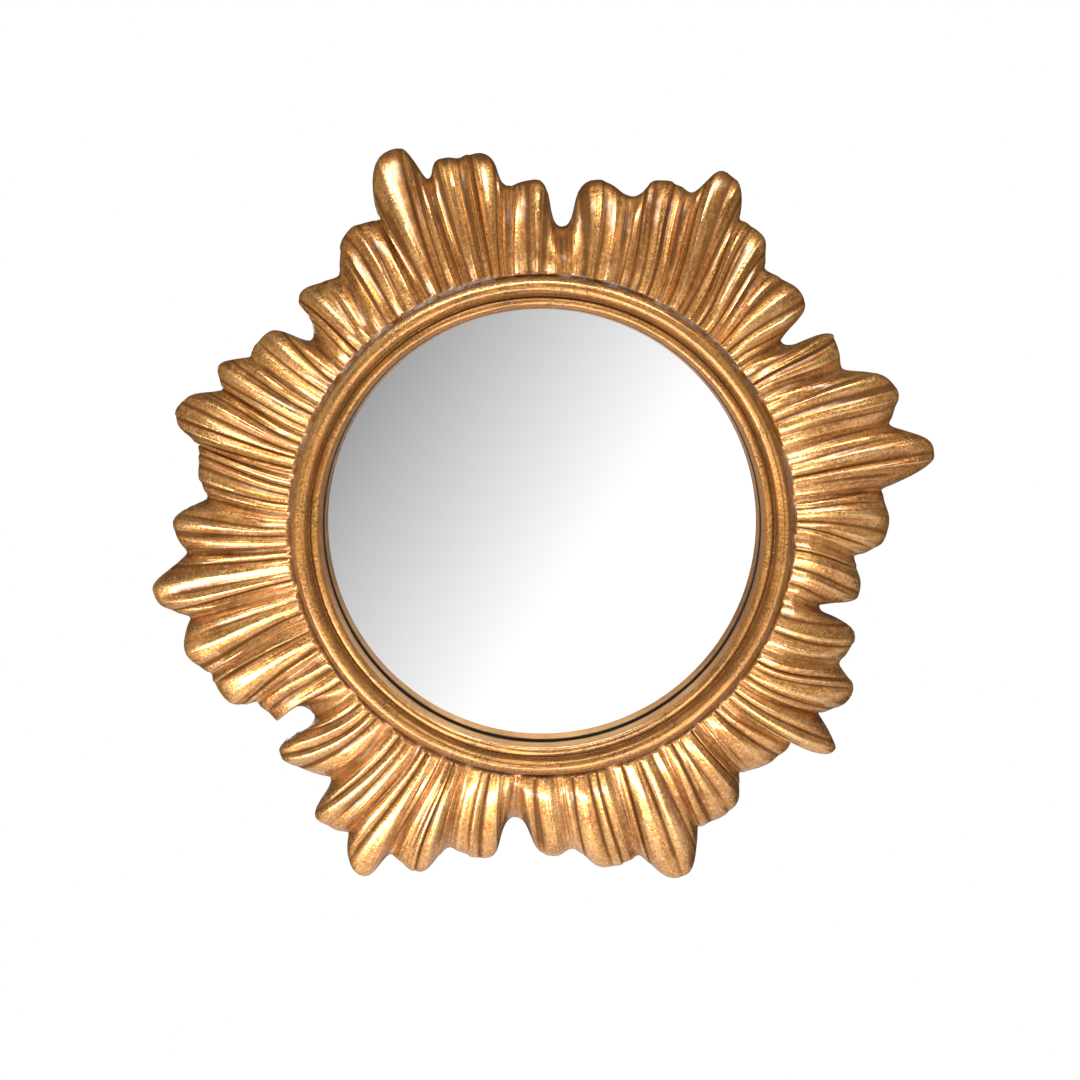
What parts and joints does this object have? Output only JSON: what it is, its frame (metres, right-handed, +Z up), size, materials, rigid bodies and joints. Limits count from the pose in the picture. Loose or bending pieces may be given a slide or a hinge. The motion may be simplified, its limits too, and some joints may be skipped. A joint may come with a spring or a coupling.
{
  "type": "wall mirror",
  "caption": "Round wall mirror in a cast, antique-gold frame of carved leaves with an irregular lobed outline and a beaded ring round the glass.",
  "frame": {"origin": "centre of the back board's back face, on the wall plane and on the axis of the round glass", "axes": "+Y into the wall, so the front faces -Y; +Z up as it hangs; +X to the viewer's right"},
  "size_m": [0.3991, 0.0262, 0.3748],
  "materials": {
    "gilded_resin": "antique gold leaf on cast resin, rubbed bright on the ridges and brown in the hollows",
    "mirror": "silvered float glass",
    "fibreboard": "bare brown fibreboard"
  },
  "bodies": {
    "root": {"leaf_frame": "gilded_resin", "mirror_glass": "mirror", "back_board": "fibreboard"}
  },
  "joints": []
}
